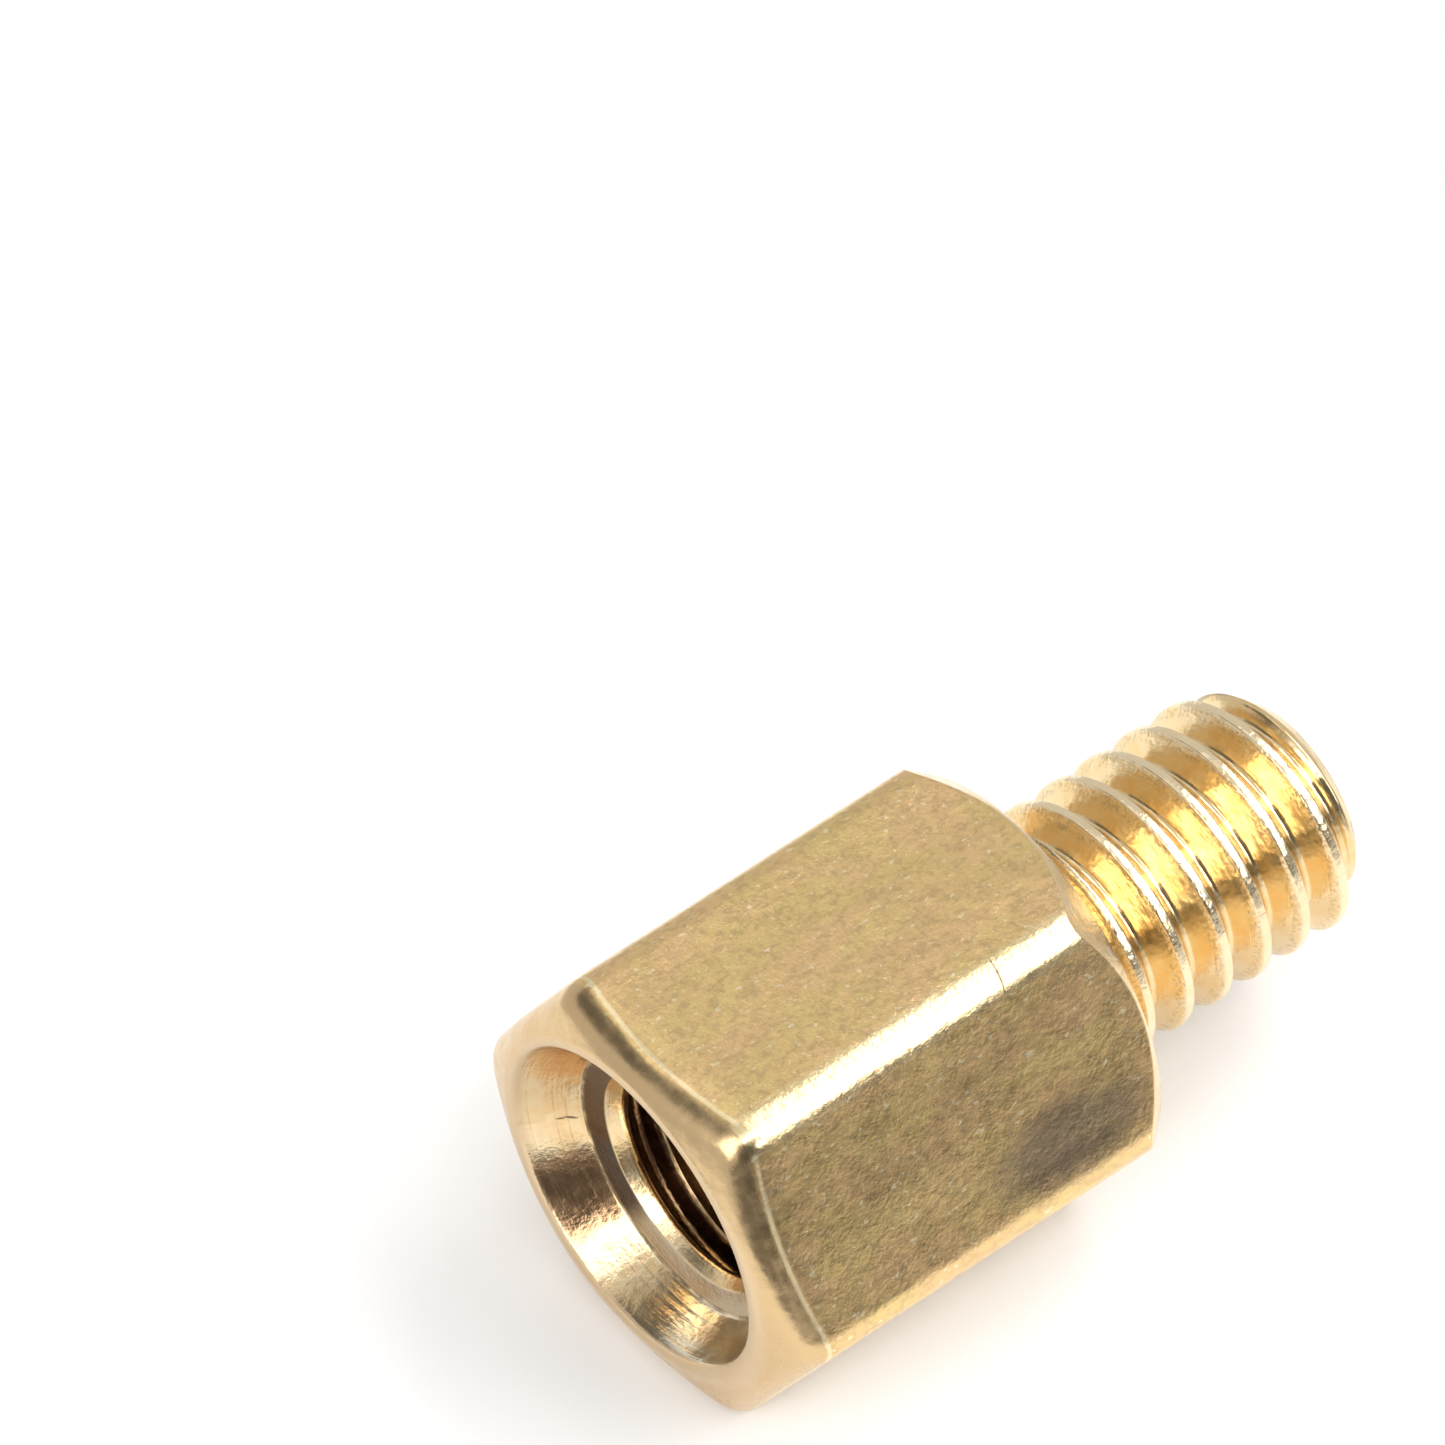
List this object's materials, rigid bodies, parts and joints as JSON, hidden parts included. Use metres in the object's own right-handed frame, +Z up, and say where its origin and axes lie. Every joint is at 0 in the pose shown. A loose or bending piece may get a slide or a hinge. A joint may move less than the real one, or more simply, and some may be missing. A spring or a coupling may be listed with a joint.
{
  "type": "hex standoff",
  "caption": "Brass hexagonal standoff with a threaded hole in a flared recess at one end and a threaded stud at the other, lying on one flat.",
  "frame": {"origin": "on the surface that the standoff lies on, under the middle of its overall length", "axes": "+X along the standoff from the threaded hole's end to the stud's tip, +Z up, square to the flat that it lies on"},
  "size_m": [0.0076, 0.0046, 0.004],
  "materials": {
    "brass": "bright drawn and turned brass, mottled on the flats"
  },
  "bodies": {
    "root": {"standoff": "brass"}
  },
  "joints": []
}
